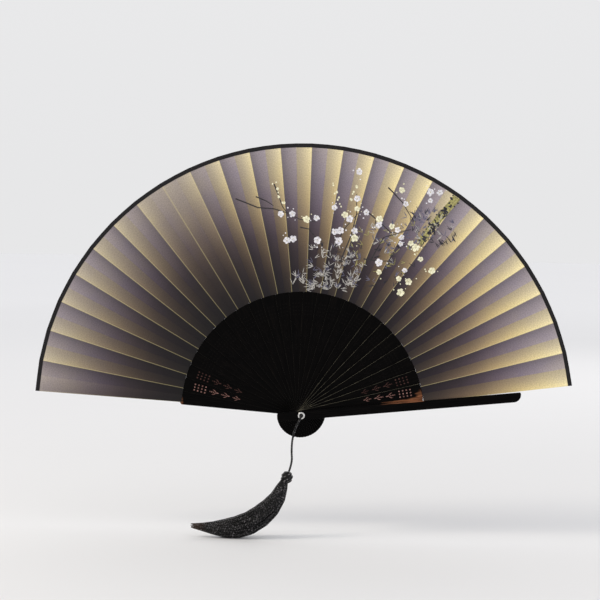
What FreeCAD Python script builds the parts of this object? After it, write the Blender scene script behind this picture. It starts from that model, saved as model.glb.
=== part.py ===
import FreeCAD, Part
import math
import os
import Sketcher
from FreeCAD import Placement, Rotation, Vector

# A folding fan that stands open in the XZ plane.  The painted side of its leaf faces -Y, the sticks turn
# about a rivet along Y, and the origin is the middle of that rivet.  Sticks are numbered from 0, the front
# guard on the right, to 25, the rear guard on the left.  Each stick is drawn upright, on the plane through
# the middle of its thickness, and its Placement fans it out and moves it back in the stack.
DIMENSIONS = {
    # the fan as a whole
    "stick_count": 26,
    "fan_pitch": 6.755,
    "stack_pitch": 1.02,
    "stick_thickness": 0.9,
    "tail_length": 17.0,
    "tail_half_width": 2.9,
    # the ribs: a wide lower stick, and a thin blade glued behind the leaf
    "shoulder_radius": 85.85,
    "shoulder_flat_half_width": 2.6,
    "shoulder_half_width": 5.4,
    "shoulder_slope": 0.65,
    "shoulder_top_half_width": 5.2,
    "shoulder_fall": 0.2,
    "tail_corner_radius": 0.8,
    "blade_root_radius": 85.3,
    "blade_end_radius": 186.0,
    "blade_half_width": 2.0,
    "blade_thickness": 0.4,
    # the pleated leaf
    "leaf_inner_radius": 86.0,
    "leaf_outer_radius": 190.0,
    "cloth_thickness": 0.2,
    "glue_gap": 0.05,
    "valley_angle": 1.25,
    "mountain_angle": 2.13,
    "facet_tilt": 8.0,
    "first_mountain_angle": 1.78,
    "fold_gap": 0.15,
    # the guards: a bar to the tip, wider at the foot, on the side that the next rib would leave open
    "guard_tip_radius": 154.0,
    "guard_tip_half_width": 3.3,
    "guard_thickness": 4.0,
    "guard_foot_half_width": 5.0,
    "guard_step": 1.8,
    "guard_round_corner_radius": 5.2,
    "guard_square_corner_radius": 0.8,
    "front_guard_tilt": 0.3,
    "front_relief_depth": 2.0,
    "rear_relief_depth": 0.5,
    "relief_start_radius": 85.6,
    "first_pleat_gap": 0.1,
    # the eyelet rivet
    "hole_radius": 1.55,
    "shank_radius": 1.5,
    "bore_radius": 1.0,
    "flange_radius": 2.5,
    "flange_thickness": 0.5,
    "flange_gap": 0.05,
    "washer_radius": 3.0,
    "washer_hole_radius": 1.52,
    "peen_radius": 2.1,
    "peen_thickness": 0.4,
    # the tassel
    "cord_diameter": 1.5,
    "head_radius": 4.2,
    "head_flat": 1.2,
}

# The cord leaves the front mouth of the eyelet, bends down over the tails and hangs to the tassel's head.
CORD_ROUTE = [
    (0.0, -15.3, 0.0),
    (0.0, -19.2, 0.0),
    (-1.4, -22.2, -2.8),
    (-4.0, -22.8, -8.0),
    (-6.1, -22.1, -16.4),
    (-6.4, -21.6, -25.2),
    (-5.8, -21.4, -32.4),
    (-7.9, -21.4, -38.6),
]
# The skirt's middle line as (x, z, thickness): it hangs from the head and sweeps to the left as it lies.
SKIRT_Y = -21.4
SKIRT = [
    (-10.9, -45.4, 4.6),
    (-12.6, -49.4, 7.2),
    (-15.4, -56.8, 10.2),
    (-20.4, -64.0, 13.2),
    (-27.2, -70.4, 15.0),
    (-35.4, -75.4, 15.6),
    (-43.8, -78.3, 14.8),
    (-52.2, -79.4, 12.2),
    (-60.2, -79.3, 8.6),
    (-67.2, -78.7, 5.6),
    (-76.6, -77.7, 2.6),
]

doc = FreeCAD.newDocument("folding_fan")
sheet = doc.addObject("Spreadsheet::Sheet", "Dimensions")
for row, (alias, value) in enumerate(DIMENSIONS.items(), start=1):
    sheet.set(f"A{row}", alias)
    sheet.set(f"B{row}", str(value))
    sheet.setAlias(f"B{row}", alias)
doc.recompute()

STICKS = int(sheet.stick_count)
MIDDLE = (STICKS - 1) / 2
nodes = []


def size(text):
    """An expression in which each name of a dimension reads its cell."""
    for alias in sorted(DIMENSIONS, key=len, reverse=True):
        text = text.replace(f"[{alias}]", f"Dimensions.{alias}")
    return text


def finished(piece, label):
    """Names a sub-part, so that it is checked and written."""
    piece.Label = label
    nodes.append(piece)
    return piece


def origin_plane(body, role):
    return next(f for f in body.Origin.OriginFeatures if f.Role == role)


def polygon(body, name, corners, role="XZ_Plane", offset=None, circle=None):
    """A closed outline on one of the body's planes, each corner tied to the sheet by two expressions."""
    sketch = body.newObject("Sketcher::SketchObject", name)
    sketch.AttachmentSupport = [(origin_plane(body, role), "")]
    sketch.MapMode = "FlatFace"
    if offset:
        sketch.AttachmentOffset = offset
    values = [(evaluated(across), evaluated(up)) for across, up in corners]
    count = len(corners)
    for i in range(count):
        start = Vector(*values[i], 0)
        end = Vector(*values[(i + 1) % count], 0)
        sketch.addGeometry(Part.LineSegment(start, end), False)
    for i in range(count):
        sketch.addConstraint(Sketcher.Constraint("Coincident", i, 2, (i + 1) % count, 1))
    for i, corner in enumerate(corners):
        for kind, text, value in zip(("DistanceX", "DistanceY"), corner, values[i]):
            tie(sketch, Sketcher.Constraint(kind, -1, 1, i, 1, value), text)
    if circle:
        ring = Part.Circle(Vector(0, 0, 0), Vector(0, 0, 1), evaluated(circle))
        sketch.addGeometry(ring, False)
        sketch.addConstraint(Sketcher.Constraint("Coincident", count, 3, -1, 1))
        tie(sketch, Sketcher.Constraint("Radius", count, evaluated(circle)), circle)
    return sketch


def tie(sketch, constraint, text):
    index = sketch.addConstraint(constraint)
    sketch.setExpression(f"Constraints[{index}]", size(text))


def evaluated(text):
    """The value that an expression has now."""
    return float(sheet.evalExpression(size(text)))


def pad(body, name, profile, length, middle=False, back=False):
    feature = body.newObject("PartDesign::Pad", name)
    feature.Profile = profile
    feature.setExpression("Length", size(length))
    feature.Midplane = middle
    feature.Reversed = back
    return feature


def rounded(body, name, base, radius, chosen):
    """Fillets the edges along Y whose middle the test picks out."""
    doc.recompute()
    picked = [
        f"Edge{n}"
        for n, edge in enumerate(base.Shape.Edges, start=1)
        if edge.BoundBox.YLength > 0.5
        and edge.BoundBox.XLength < 1e-6
        and edge.BoundBox.ZLength < 1e-6
        and chosen(edge.CenterOfMass)
    ]
    fillet = body.newObject("PartDesign::Fillet", name)
    fillet.Base = (base, picked)
    fillet.setExpression("Radius", size(radius))
    return fillet


def tilted_plane():
    """The plane of a rib's blade: the stick's own plane, turned about the valley line that ends its facet."""
    valley = math.radians(sheet.valley_angle)
    return Rotation(Vector(math.sin(valley), math.cos(valley), 0), sheet.facet_tilt)


def placed(piece, index, turn="0"):
    """Fans a sub-part out to the angle of a stick and moves it to that stick's place in the stack."""
    piece.Placement = Placement(Vector(), Rotation(Vector(0, -1, 0), 1))
    piece.setExpression("Placement.Base.y", size(f"({index} - {MIDDLE}) * [stack_pitch]"))
    angle = f"({index} - {MIDDLE}) * [fan_pitch] + {turn}"
    piece.setExpression("Placement.Rotation.Angle", size(angle))
    return piece


def group(label, pieces, index):
    """A node made of separate solids that move as one."""
    compound = doc.addObject("Part::Compound", label)
    compound.Links = pieces
    return finished(placed(compound, index), label)


def rib_wood():
    """The stick of one rib: a tapering lower stick, pierced for the rivet, and the blade that carries silk."""
    body = doc.addObject("PartDesign::Body", "rib_wood")
    outline = [
        ("-[tail_half_width]", "-[tail_length]"),
        ("[tail_half_width]", "-[tail_length]"),
        ("[shoulder_half_width]", "[shoulder_radius] - [shoulder_slope]"),
        ("[shoulder_top_half_width]", "[shoulder_radius] - [shoulder_fall]"),
        ("[shoulder_flat_half_width]", "[shoulder_radius]"),
        ("-[shoulder_flat_half_width]", "[shoulder_radius]"),
        ("-[shoulder_top_half_width]", "[shoulder_radius] - [shoulder_fall]"),
        ("-[shoulder_half_width]", "[shoulder_radius] - [shoulder_slope]"),
    ]
    profile = polygon(body, "rib_outline", outline, circle="[hole_radius]")
    stick = pad(body, "rib_stick", profile, "[stick_thickness]", middle=True)
    stick = rounded(body, "rib_tail", stick, "[tail_corner_radius]", lambda p: p.z < 1 - sheet.tail_length)
    blade_outline = [
        ("-[blade_half_width]", "[blade_root_radius]"),
        ("[blade_half_width]", "[blade_root_radius]"),
        ("[blade_half_width]", "[blade_end_radius]"),
        ("-[blade_half_width]", "[blade_end_radius]"),
    ]
    blade = polygon(body, "blade_outline", blade_outline, offset=Placement(Vector(), tilted_plane()))
    pad(body, "rib_blade", blade, "[blade_thickness]", back=True)
    return body


def facet_silk():
    """The facet of the leaf that is glued along a rib's blade, from its valley to its mountain."""
    body = doc.addObject("PartDesign::Body", "facet_silk")
    span = "([mountain_angle] + [valley_angle]) / cos([facet_tilt] * 1deg)"
    lean = "[valley_angle]"
    corners = []
    for radius in ("[leaf_inner_radius]", "[leaf_outer_radius]"):
        valley = (
            f"{radius} * sin({lean} * 1deg) - [fold_gap]",
            f"{radius} * cos({lean} * 1deg)",
        )
        mountain = (
            f"-{radius} * sin(({span} - {lean}) * 1deg) + [fold_gap]",
            f"{radius} * cos(({span} - {lean}) * 1deg)",
        )
        corners += [valley, mountain] if not corners else [mountain, valley]
    turned = tilted_plane()
    forward = turned.multVec(Vector(0, 0, sheet.glue_gap))
    profile = polygon(body, "facet_outline", corners, offset=Placement(forward, turned))
    pad(body, "facet_cloth", profile, "[cloth_thickness]")
    return body


def pleat_silk(name, mountain, mountain_depth):
    """The free facet between one stick's mountain and the next stick's valley, drawn with its middle upright.
    mountain is the angle of that fold from its stick, and mountain_depth(radius) gives how far in front of
    the stick's plane it stands."""
    body = doc.addObject("PartDesign::Body", name)
    half = f"([fan_pitch] - [valley_angle] - {mountain}) / 2"
    sections = []
    for end in ("inner", "outer"):
        radius = f"[leaf_{end}_radius]"
        edge = f"({radius} * sin({half} * 1deg) - [fold_gap])"
        front = mountain_depth(radius)
        valley = "[stack_pitch] - [glue_gap] - [cloth_thickness]"
        corners = [
            (edge, f"-({front})"),
            (edge, f"-({front}) + [cloth_thickness]"),
            (f"-{edge}", f"{valley} + [cloth_thickness]"),
            (f"-{edge}", valley),
        ]
        height = Vector(0, 0, evaluated(f"{radius} * cos({half} * 1deg)"))
        offset = Placement(height, Rotation())
        section = polygon(body, f"{name}_{end}", corners, role="XY_Plane", offset=offset)
        section.setExpression("AttachmentOffset.Base.z", size(f"{radius} * cos({half} * 1deg)"))
        sections.append(section)
    loft = body.newObject("PartDesign::AdditiveLoft", f"{name}_cloth")
    loft.Profile = sections[0]
    loft.Sections = [sections[1]]
    loft.Ruled = True
    return body


def rib_mountain(radius):
    rise = f"{radius} * tan([facet_tilt] * 1deg) * ([mountain_angle] + [valley_angle]) * pi / 180"
    return f"[glue_gap] + [cloth_thickness] + {rise}"


def first_mountain(radius):
    return "[front_relief_depth] - [stick_thickness] / 2 - [first_pleat_gap]"


def foot_width(radius):
    """Half a guard bar's width at this radius: it widens evenly from its tail to its tip."""
    share = f"({radius} + [tail_length]) / ([guard_tip_radius] + [tail_length])"
    return f"([tail_half_width] + ([guard_tip_half_width] - [tail_half_width]) * {share})"


def guard_wood(name, outline, relief, tilt, back, foot=None):
    """A guard: a stout bar, pierced for the rivet, and cut back on its inner side to make room for the leaf.
    back says that its outer face is towards +Y, and foot is the outline of a thin rib glued inside it."""
    body = doc.addObject("PartDesign::Body", name)
    cut_away = [
        ("-2 * [guard_tip_half_width]", "[relief_start_radius]"),
        ("2 * [guard_tip_half_width]", "[relief_start_radius]"),
        ("2 * [guard_tip_half_width]", "[guard_tip_radius] + [tail_length]"),
        ("-2 * [guard_tip_half_width]", "[guard_tip_radius] + [tail_length]"),
    ]
    inner_face = f"{'' if back else '-'}[stick_thickness] / 2"
    offset = Placement(Vector(0, 0, evaluated(inner_face)), Rotation())
    profile = polygon(body, f"{name}_outline", outline, offset=offset, circle="[hole_radius]")
    profile.setExpression("AttachmentOffset.Base.z", size(inner_face))
    bar = pad(body, f"{name}_bar", profile, "[guard_thickness]", back=back)
    near_tip = sheet.guard_tip_radius - 1
    outer = "[guard_round_corner_radius]"
    bar = rounded(body, f"{name}_round_corner", bar, outer, lambda p: p.z > near_tip and p.x > 0)
    inner = "[guard_square_corner_radius]"
    bar = rounded(body, f"{name}_square_corner", bar, inner, lambda p: p.z > near_tip and p.x < 0)
    if foot:
        rib_profile = polygon(body, f"{name}_foot", foot, offset=offset, circle="[hole_radius]")
        rib_profile.setExpression("AttachmentOffset.Base.z", size(inner_face))
        bar = pad(body, f"{name}_rib", rib_profile, "[stick_thickness]", back=back)
    doc.recompute()
    whole = bar.Shape.Volume
    recess = polygon(body, f"{name}_recess", cut_away, offset=offset)
    recess.setExpression("AttachmentOffset.Base.z", size(inner_face))
    pocket = body.newObject("PartDesign::Pocket", f"{name}_relief")
    pocket.Profile = recess
    pocket.setExpression("Length", size(relief))
    pocket.Reversed = not back
    doc.recompute()
    if pocket.Shape.Volume > whole - 1:
        raise ValueError(f"the relief of {name} cuts nothing")
    body.Placement = Placement(Vector(), Rotation(Vector(0, -1, 0), 1))
    body.setExpression("Placement.Rotation.Angle", size(tilt))
    return body


def cylinder(name, radius, height, start):
    """A cylinder along +Y from the face that start gives."""
    piece = doc.addObject("Part::Cylinder", name)
    piece.setExpression("Radius", size(radius))
    piece.setExpression("Height", size(height))
    piece.Placement = Placement(Vector(), Rotation(Vector(1, 0, 0), -90))
    piece.setExpression("Placement.Base.y", size(start))
    return piece


def eyelet():
    """The hollow rivet that the sticks turn on: a flange in front, and a peened collar behind the washer."""
    face = "([stick_count] - 1) / 2 * [stack_pitch] - [stick_thickness] / 2 + [guard_thickness]"
    front = f"-({face} + [flange_gap] + [flange_thickness])"
    washer_start = f"{face} + [flange_gap]"
    peen_start = f"{washer_start} + [flange_thickness] + [flange_gap]"
    flange = cylinder("eyelet_flange", "[flange_radius]", "[flange_thickness]", front)
    shank = cylinder("eyelet_shank", "[shank_radius]", f"{peen_start} + [peen_thickness] - ({front})", front)
    peen = cylinder("eyelet_peen", "[peen_radius]", "[peen_thickness]", peen_start)
    joined = doc.addObject("Part::MultiFuse", "eyelet_solid")
    joined.Shapes = [flange, shank, peen]
    through = f"{peen_start} + [peen_thickness] - ({front}) + 2"
    bore = cylinder("eyelet_bore", "[bore_radius]", through, f"{front} - 1")
    hollow = doc.addObject("Part::Cut", "eyelet_rivet")
    hollow.Base = joined
    hollow.Tool = bore
    finished(hollow, "eyelet_rivet")

    disc = cylinder("washer_disc", "[washer_radius]", "[flange_thickness]", washer_start)
    hole = cylinder("washer_hole", "[washer_hole_radius]", "[flange_thickness] + 2", f"{washer_start} - 1")
    washer = doc.addObject("Part::Cut", "rear_washer")
    washer.Base = disc
    washer.Tool = hole
    finished(washer, "rear_washer")


def cord_path(route):
    """Straight runs joined by tangent arcs, each arc as large as its two runs allow."""
    points = [Vector(*p) for p in route]
    edges = []
    radii = []
    start = points[0]
    for before, corner, after in zip(points, points[1:], points[2:]):
        back = before - corner
        ahead = after - corner
        turn = math.pi - back.getAngle(ahead)
        reach = 0.45 * min(back.Length, ahead.Length)
        radii.append(reach / math.tan(turn / 2))
        enter = corner + back.normalize() * reach
        leave = corner + ahead.normalize() * reach
        inward = (back + ahead).normalize()
        centre_distance = radii[-1] / math.cos(turn / 2)
        middle = corner + inward * (centre_distance - radii[-1])
        edges.append(Part.LineSegment(start, enter).toShape())
        edges.append(Part.Arc(enter, middle, leave).toShape())
        start = leave
    edges.append(Part.LineSegment(start, points[-1]).toShape())
    return Part.Wire(edges), radii


def tassel_cord():
    """The cord, from the eyelet's front mouth to the tassel's head."""
    path, radii = cord_path(CORD_ROUTE)
    first = Vector(*CORD_ROUTE[1]) - Vector(*CORD_ROUTE[0])
    ring = Part.Circle(Vector(*CORD_ROUTE[0]), first, sheet.cord_diameter / 2)
    tube = path.makePipeShell([Part.Wire(ring.toShape())], True, False)
    cord = doc.addObject("Part::Feature", "tassel_cord")
    cord.Shape = tube
    section = math.pi * sheet.cord_diameter**2 / 4
    print("cord length", round(path.Length, 2), "radii", [round(r, 1) for r in radii])
    print("cord volume over section times length", round(tube.Volume / (section * path.Length), 4))
    finished(cord, "tassel_cord")


def tassel_head():
    """The bound knot at the top of the tassel, flat where the cord runs into it."""
    end = Vector(*CORD_ROUTE[-1])
    down = (end - Vector(*CORD_ROUTE[-2])).normalize()
    cap = math.degrees(math.acos(sheet.head_flat / sheet.head_radius))
    head = doc.addObject("Part::Sphere", "tassel_head")
    head.setExpression("Radius", size("[head_radius]"))
    head.setExpression("Angle2", size("acos([head_flat] / [head_radius])"))
    centre = end + down * (sheet.head_radius * math.sin(math.radians(cap)))
    head.Placement = Placement(centre, Rotation(Vector(0, 0, 1), -down))
    finished(head, "tassel_head")


def tassel_skirt():
    """The outer shape of the fringe: round sections along its middle line."""
    middles = [Vector(section[0], SKIRT_Y, section[1]) for section in SKIRT]
    wires = []
    for i, section in enumerate(SKIRT):
        ahead = middles[min(i + 1, len(SKIRT) - 1)] - middles[max(i - 1, 0)]
        wires.append(Part.Wire(Part.Circle(middles[i], ahead, section[2] / 2).toShape()))
    skirt = doc.addObject("Part::Feature", "tassel_skirt")
    skirt.Shape = Part.makeLoft(wires, True, False)
    finished(skirt, "tassel_skirt")


rib = rib_wood()
facet = facet_silk()
pleat = pleat_silk("pleat_silk", "[mountain_angle]", rib_mountain)
first_pleat = pleat_silk("first_pleat_silk", "[first_mountain_angle]", first_mountain)

TAIL_CORNERS = [("-[tail_half_width]", "-[tail_length]"), ("[tail_half_width]", "-[tail_length]")]
TIP_CORNERS = [
    ("[guard_tip_half_width]", "[guard_tip_radius]"),
    ("-[guard_tip_half_width]", "[guard_tip_radius]"),
]
STEP_END = "[relief_start_radius] + [guard_step]"
RIGHT_STEP = [
    ("[guard_foot_half_width]", "[relief_start_radius]"),
    (foot_width(STEP_END), STEP_END),
]
LEFT_STEP = [(f"-{across}", up) for across, up in reversed(RIGHT_STEP)]
FOOT = TAIL_CORNERS + [
    (foot_width("[relief_start_radius]"), "[relief_start_radius]"),
    ("-[guard_foot_half_width]", "[relief_start_radius]"),
]
front_guard = guard_wood(
    "front_guard_wood",
    TAIL_CORNERS + TIP_CORNERS,
    "[front_relief_depth]",
    "[front_guard_tilt]",
    back=False,
    foot=FOOT,
)
rear_guard = guard_wood(
    "rear_guard_wood",
    TAIL_CORNERS + RIGHT_STEP + TIP_CORNERS + LEFT_STEP,
    "[rear_relief_depth]",
    "0",
    back=True,
)

group("guard_front", [front_guard], 0)
for stick in range(1, STICKS - 1):
    group(f"rib_{stick:02d}", [rib, facet], stick)
group("guard_rear", [rear_guard, facet], STICKS - 1)

for stick in range(STICKS - 1):
    mountain = "[mountain_angle]" if stick else "[first_mountain_angle]"
    fold = doc.addObject("Part::Compound", f"leaf_fold_{stick:02d}")
    fold.Links = [pleat if stick else first_pleat]
    placed(fold, stick, turn=f"([fan_pitch] - [valley_angle] + {mountain}) / 2")
    finished(fold, f"leaf_fold_{stick:02d}")

eyelet()
tassel_cord()
tassel_head()
tassel_skirt()

doc.recompute()
for thing in doc.Objects:
    if "Invalid" in thing.State or "Error" in thing.State:
        raise ValueError(f"{thing.Label} did not recompute: {thing.State}")
for node in nodes:
    if node.Shape.isNull() or not node.Shape.isValid() or node.Shape.Volume <= 0:
        raise ValueError(f"{node.Label} has no valid shape")

os.makedirs("parts", exist_ok=True)
for node in nodes:
    node.Shape.exportStep(f"parts/{node.Label}.step")
print(len(nodes), "nodes written")
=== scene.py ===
import random
from math import atan2, cos, degrees, hypot, pi, radians, sin, tan, tau

import bmesh
import bpy
from mathutils import Matrix, Vector


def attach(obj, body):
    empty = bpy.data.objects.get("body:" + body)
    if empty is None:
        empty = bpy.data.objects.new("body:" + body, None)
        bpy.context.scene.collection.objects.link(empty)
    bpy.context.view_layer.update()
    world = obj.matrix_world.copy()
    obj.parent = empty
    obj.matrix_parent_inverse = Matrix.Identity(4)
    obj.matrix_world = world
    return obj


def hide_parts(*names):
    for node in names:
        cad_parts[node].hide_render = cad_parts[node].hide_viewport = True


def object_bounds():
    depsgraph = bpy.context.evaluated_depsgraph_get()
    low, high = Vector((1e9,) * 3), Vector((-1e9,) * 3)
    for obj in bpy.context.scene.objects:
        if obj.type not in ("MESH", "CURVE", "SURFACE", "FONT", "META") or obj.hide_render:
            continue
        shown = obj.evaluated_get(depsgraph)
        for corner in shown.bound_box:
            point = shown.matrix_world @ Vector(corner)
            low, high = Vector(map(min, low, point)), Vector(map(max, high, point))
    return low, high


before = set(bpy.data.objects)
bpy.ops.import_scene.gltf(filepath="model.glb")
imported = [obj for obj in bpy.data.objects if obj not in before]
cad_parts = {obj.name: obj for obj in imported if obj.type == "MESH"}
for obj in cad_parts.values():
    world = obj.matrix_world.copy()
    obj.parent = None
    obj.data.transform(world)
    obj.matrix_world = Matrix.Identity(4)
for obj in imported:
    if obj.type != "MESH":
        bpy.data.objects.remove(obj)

# Lengths are written in millimetres and become metres as each mesh is finished.
MM = 0.001
CAD_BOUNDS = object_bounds()
FLOOR_Z = CAD_BOUNDS[0][2] - 0.2 * MM

# Everything random comes from this one source, in the order in which the pieces are made.
chance = random.Random(11)
between = chance.uniform

# The stack of sticks: 0 is the front guard on the right, LAST the rear guard on the left.
STICKS = 26
LAST = STICKS - 1
PITCH = radians(6.755)
STACK = 1.02
RIB_THICKNESS = 0.9
TAIL = 17.0
TAIL_HALF = 2.9
# The shoulder is 0.06 mm taller than in CAD, and the silk starts 0.05 mm lower: no light shows between.
SHOULDER = 85.91
SHOULDER_FLAT_HALF = 2.6
SHOULDER_HALF = 5.4
SHOULDER_SLOPE = 0.65
SHOULDER_TOP_HALF = 5.2
SHOULDER_FALL = 0.2
HOLE_RADIUS = 1.55
RIB_BEVEL = 0.22
RIB_TAIL_CORNER = 0.8
PATTERN_DEPTH = 0.22
BLADE_HALF = 2.0
BLADE_TIP_HALF = 1.6
BLADE_CORNER = 0.7
BLADE_ROOT = SHOULDER - 0.5
BLADE_END = 186.0
BLADE_THICKNESS = 0.4

# The pleated leaf.  Each facet runs between a valley and a mountain, on straight lines through the rivet.
LEAF_INNER = 86.0
LEAF_OUTER = 190.0
SILK_INNER = LEAF_INNER - 0.05
SILK_ROWS = 26
STRIPS = 10
VALLEY = radians(1.25)
MOUNTAIN = radians(2.13)
FIRST_MOUNTAIN = radians(1.78)
FACET_TILT = radians(8.0)
VALLEY_DEPTH = 0.25
RISE = tan(FACET_TILT) * (VALLEY + MOUNTAIN)
FIRST_MOUNTAIN_DEPTH = 1.45
SILK_THICKNESS = 0.16
RIPPLE = 0.04
BINDING_WIDTH = 2.7
BINDING_THICKNESS = 0.09
BINDING_PAST_RIM = 0.12

# The guards: a bar to the tip, wider at the foot, where the next rib would leave a gap.
GUARD_TIP = 154.0
GUARD_TIP_HALF = 3.3
GUARD_THICKNESS = 4.0
GUARD_FOOT_HALF = 5.0
GUARD_BEVEL = 0.55
GUARD_TAIL_CORNER = 1.6
GUARD_STEP = 1.8
GUARD_ROUND_CORNER = 5.2
GUARD_SQUARE_CORNER = 0.8
GUARD_RELIEF_START = 85.6
FRONT_GUARD_TILT = radians(0.3)
FRONT_RELIEF = 2.0
REAR_RELIEF = 0.5

# The tassel hangs from the eyelet, in front of the stack and to its left.
CORD_DIAMETER = 1.5
TWIST_LENGTH = 1.7
CORD_ROUTE = [
    (0.0, -15.3, 0.0), (0.0, -19.2, 0.0), (-1.4, -22.2, -2.8), (-4.0, -22.8, -8.0),
    (-6.1, -22.1, -16.4), (-6.4, -21.6, -25.2), (-5.8, -21.4, -32.4), (-7.9, -21.4, -38.6),
]
HEAD_RADIUS = 4.2
SKIRT_Y = -21.4
HEAD_MIDDLE = (-9.19, SKIRT_Y, -42.41)
HEAD_DOWN = (-0.42, 0, -0.91)
CORE_END = 0.93
CORE_STEPS = 60
THREADS = 170
THREAD_STEPS = 44
THREAD_SIDES = 6
FRINGE_LENGTH = 90
# The fringe's middle line, as x and z, and its width there.
SKIRT = [
    (-10.9, -45.4, 4.6), (-12.6, -49.4, 7.2), (-15.4, -56.8, 10.2), (-20.4, -64.0, 13.2),
    (-27.2, -70.4, 15.0), (-35.4, -75.4, 15.6), (-43.8, -78.3, 14.8), (-52.2, -79.4, 12.2),
    (-60.2, -79.3, 8.6), (-67.2, -78.7, 5.6), (-76.6, -77.7, 2.6),
]


# ---- camera

def put_in_scene(name, data):
    thing = bpy.data.objects.new(name, data)
    bpy.context.scene.collection.objects.link(thing)
    return thing


def make_camera():
    """At the photograph's viewing angle: nearly level, far away, and rolled by a degree."""
    azimuth, elevation, roll = (radians(v) for v in (0.5, 3.0, 1.0))
    target = Vector((-2.5, 0, 80.0)) * MM
    distance = 1.5
    back = Vector((
        sin(azimuth) * cos(elevation),
        -cos(azimuth) * cos(elevation),
        sin(elevation),
    ))
    right = Vector((cos(azimuth), sin(azimuth), 0))
    up = back.cross(right)
    across = right * cos(roll) + up * sin(roll)
    upward = up * cos(roll) - right * sin(roll)
    data = bpy.data.cameras.new("camera")
    data.sensor_width = 36
    data.lens = 127.8
    data.clip_end = 50
    camera = put_in_scene("camera", data)
    turn = Matrix((across, upward, back)).transposed()
    camera.matrix_world = Matrix.Translation(target + back * distance) @ turn.to_4x4()
    bpy.context.scene.camera = camera


make_camera()


# ---- shader helpers

def srgb(red, green, blue):
    """A colour given as 0 to 255, as the shader's linear numbers."""
    def linear(value):
        value /= 255
        return value / 12.92 if value <= 0.04045 else ((value + 0.055) / 1.055) ** 2.4
    return (linear(red), linear(green), linear(blue), 1.0)


class Shader:
    """A material being made: short names for its nodes and links."""

    def __init__(self, name, roughness, **sockets):
        self.material = bpy.data.materials.new(name)
        self.material.use_nodes = True
        self.tree = self.material.node_tree
        self.surface = self.tree.nodes["Principled BSDF"]
        self.surface.inputs["Roughness"].default_value = roughness
        for socket, value in sockets.items():
            self.surface.inputs[socket.replace("_", " ")].default_value = value
        place = self.add("TexCoord")
        self.uv, self.here = place.outputs["UV"], place.outputs["Object"]

    def add(self, kind, inputs=None, **settings):
        node = self.tree.nodes.new(f"ShaderNode{kind}")
        for key, value in settings.items():
            setattr(node, key, value)
        for key, value in (inputs or {}).items():
            self.feed(node.inputs[key], value)
        return node

    def feed(self, socket, value):
        if isinstance(value, bpy.types.NodeSocket):
            self.tree.links.new(value, socket)
        else:
            socket.default_value = value

    def math(self, operation, first, second=0.5, third=0.5):
        node = self.add("Math", {0: first, 1: second, 2: third}, operation=operation)
        return node.outputs[0]

    def times(self, first, second):
        return self.math("MULTIPLY", first, second)

    def plus(self, first, second):
        return self.math("ADD", first, second)

    def scaled(self, value, by, then_add):
        return self.math("MULTIPLY_ADD", value, by, then_add)

    def attribute(self, name):
        return self.add("Attribute", attribute_name=name).outputs["Fac"]

    def ranged(self, value, start=0.0, end=1.0, low=0.0, high=1.0, **settings):
        """How far the value is from start to end, told as a number between low and high."""
        limits = {"Value": value, "From Min": start, "From Max": end, "To Min": low, "To Max": high}
        return self.add("MapRange", limits, **settings).outputs[0]

    def ramp(self, factor, stops):
        node = self.add("ValToRGB", {"Fac": factor})
        elements = node.color_ramp.elements
        while len(elements) < len(stops):
            elements.new(0.5)
        for element, (position, colour) in zip(elements, stops):
            element.position = position
            element.color = srgb(*colour)
        return node.outputs["Color"]

    def mix(self, factor, first, second, blend="MIX"):
        inputs = {"Factor": factor, 6: first, 7: second}
        return self.add("Mix", inputs, data_type="RGBA", blend_type=blend).outputs[2]

    def noise(self, vector, scale, detail):
        node = self.add("TexNoise", {"Vector": vector, "Scale": scale, "Detail": detail})
        return node.outputs["Fac"]

    def grain(self, across, along, detail):
        """Noise of its own fineness in each direction of the UV map."""
        place = self.add("Mapping", {"Vector": self.uv, "Scale": (across, along, 1.0)}).outputs[0]
        return self.noise(place, 1.0, detail)

    def wave(self, scale, direction):
        node = self.add("TexWave", {"Vector": self.uv, "Scale": scale}, bands_direction=direction)
        return node.outputs["Fac"]

    def bump(self, height, strength, distance):
        node = self.add("Bump", {"Height": height, "Strength": strength, "Distance": distance})
        self.feed(self.surface.inputs["Normal"], node.outputs[0])

    def colour(self, value):
        self.feed(self.surface.inputs["Base Color"], value)

    def rough(self, value):
        self.feed(self.surface.inputs["Roughness"], value)


# ---- materials

# How far from the sticks towards the rim each of the silk's colours lies: the dye's fade, in a lit tone and a
# shaded tone that paint in light and shade.
DYE_SHARES = (0.0, 0.13, 0.26, 0.4, 0.53, 0.68, 0.82, 1.0)


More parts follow.
